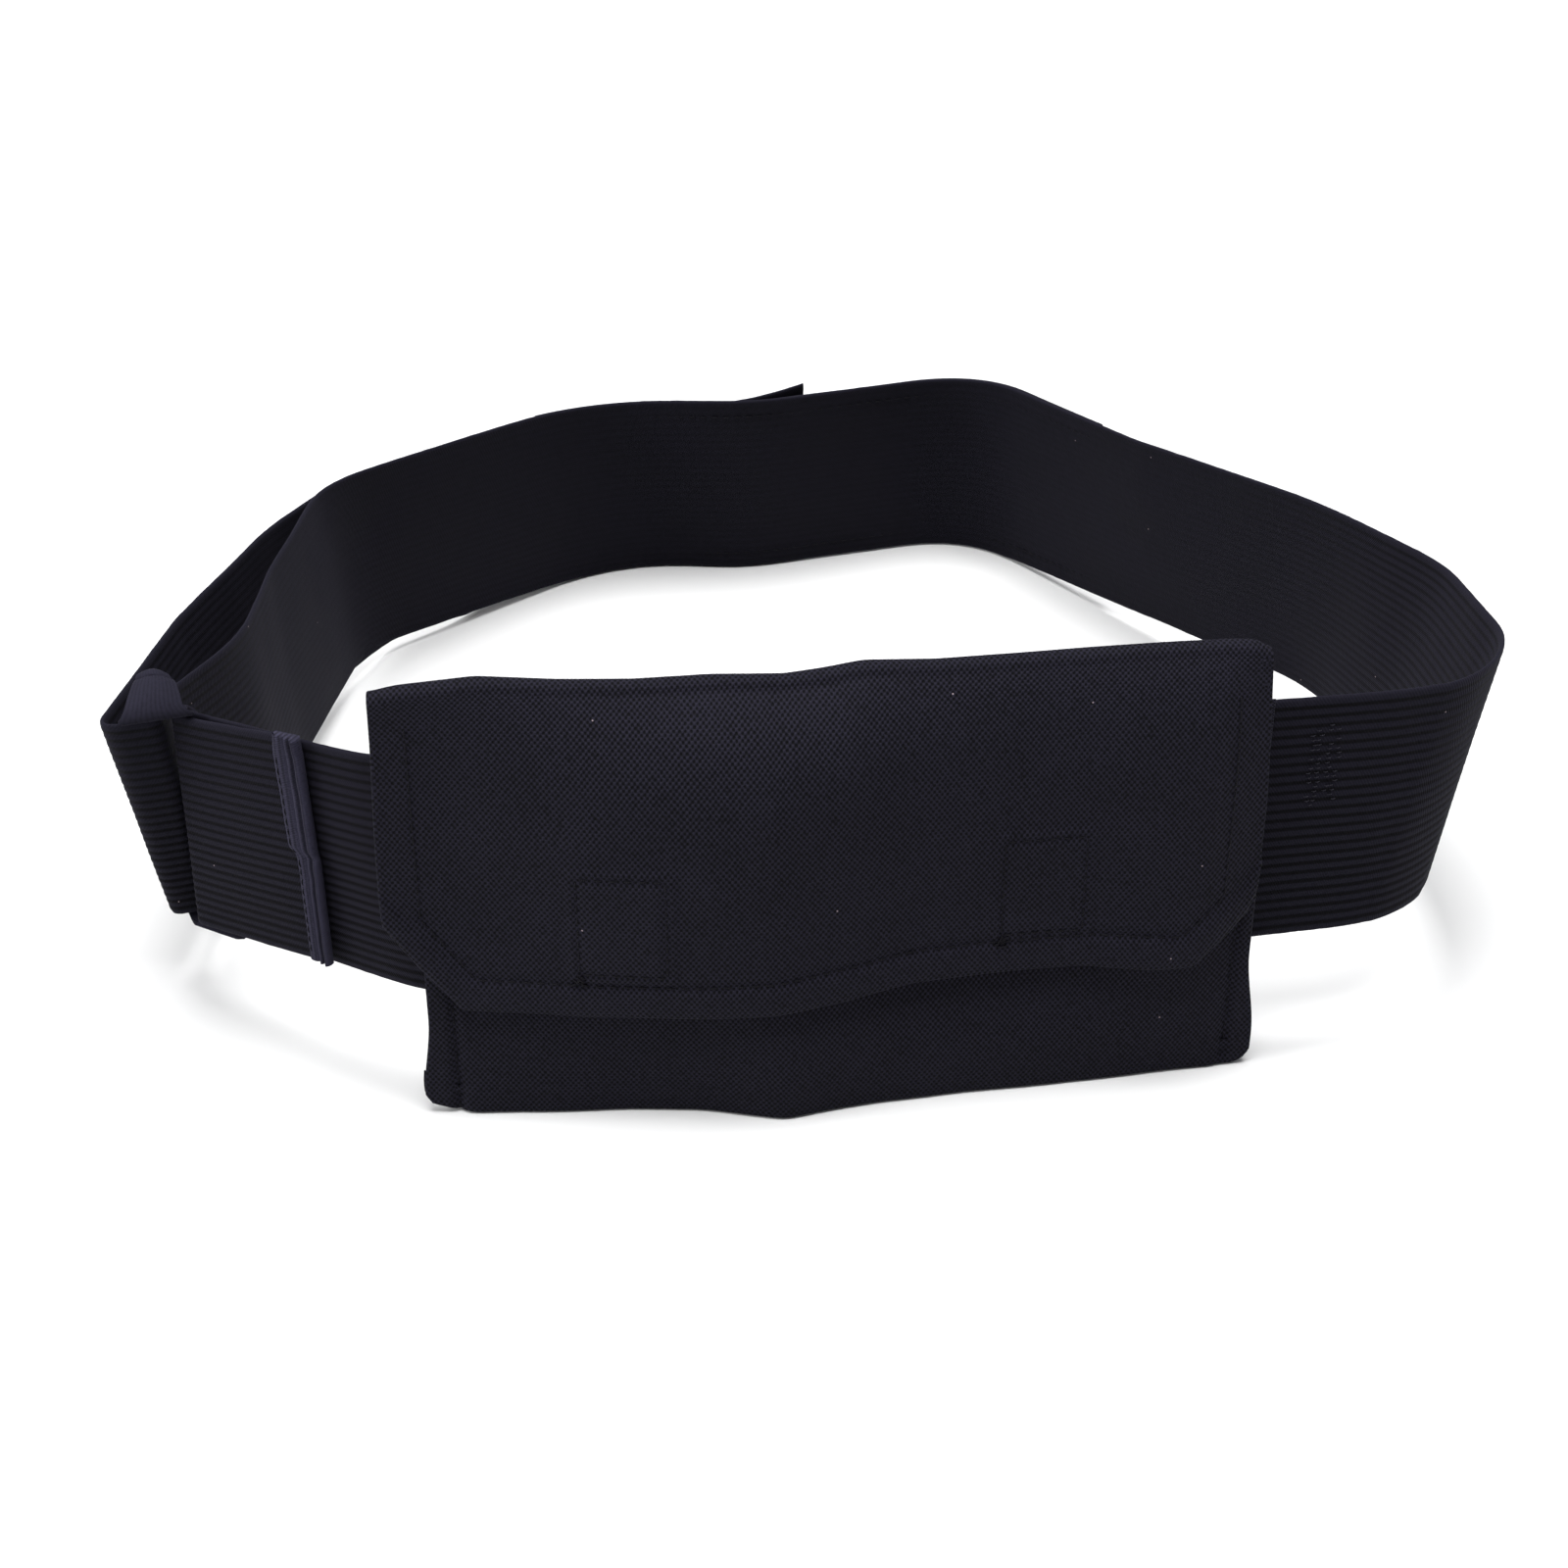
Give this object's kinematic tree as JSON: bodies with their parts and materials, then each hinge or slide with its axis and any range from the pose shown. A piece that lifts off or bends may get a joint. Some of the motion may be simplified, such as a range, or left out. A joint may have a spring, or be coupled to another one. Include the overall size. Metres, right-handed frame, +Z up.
{
  "type": "money belt",
  "caption": "Wide ribbed elastic waist belt with a turn-back hook-and-loop closure and a flat cloth pouch whose flap closes with hook patches; the pouch slides on the belt.",
  "frame": {"origin": "centre of the bounding box's base; the pouch's fold and the belt's back edge stand on Z = 0", "axes": "+Z up, X along the pouch with +X to the right as seen from the front, the pouch faces -Y"},
  "size_m": [0.308, 0.2738, 0.1064],
  "materials": {
    "ribbed_elastic": "matte lengthwise ribs",
    "keeper_elastic": "matte, fine ribs",
    "pouch_cloth": "matte basket weave",
    "lining_cloth": "matte plain weave",
    "loop_tape": "soft brushed pile",
    "hook_tape": "fine stiff hooks",
    "thread": "twisted thread"
  },
  "bodies": {
    "belt": {"elastic_strap": "ribbed_elastic", "strap_hem": "ribbed_elastic", "hem_stitching": "thread", "keeper_loop": "keeper_elastic", "keeper_stitching": "thread", "right_bartack": "thread", "back_loop_tape": "loop_tape", "loop_tape_stitching": "thread"},
    "tail": {"strap_tail": "ribbed_elastic", "tail_hook_tape": "hook_tape", "hook_tape_stitching": "thread"},
    "pouch": {"front_panel": "pouch_cloth", "back_panel": "pouch_cloth", "mouth_hem": "pouch_cloth", "mouth_hem_stitching": "thread", "side_allowance_left": "lining_cloth", "side_allowance_right": "lining_cloth", "side_stitching": "thread", "belt_tunnel": "pouch_cloth", "tunnel_stitching": "thread", "loop_patch_left": "loop_tape", "loop_patch_right": "loop_tape", "loop_patch_stitching": "thread"},
    "flap": {"flap_outer": "pouch_cloth", "flap_lining": "lining_cloth", "flap_stitching": "thread", "hook_patch_left": "hook_tape", "hook_patch_right": "hook_tape", "hook_patch_stitching": "thread"}
  },
  "joints": [
    {"name": "pouch_slide", "type": "slide", "parent": "belt", "child": "pouch", "axis": [1, 0, 0], "range_m": [-0.006, 0.02]},
    {"name": "flap_fold", "type": "hinge", "parent": "pouch", "child": "flap", "pos_m": [-0.00306, -0.11652, 0.1057], "axis": [-1, 0, 0], "range_deg": [0, 180]},
    {"name": "tail_peel", "type": "hinge", "parent": "belt", "child": "tail", "pos_m": [-0.06876, 0.11886, 0.03], "axis": [0, 0, 1], "range_deg": [0, 100]}
  ]
}
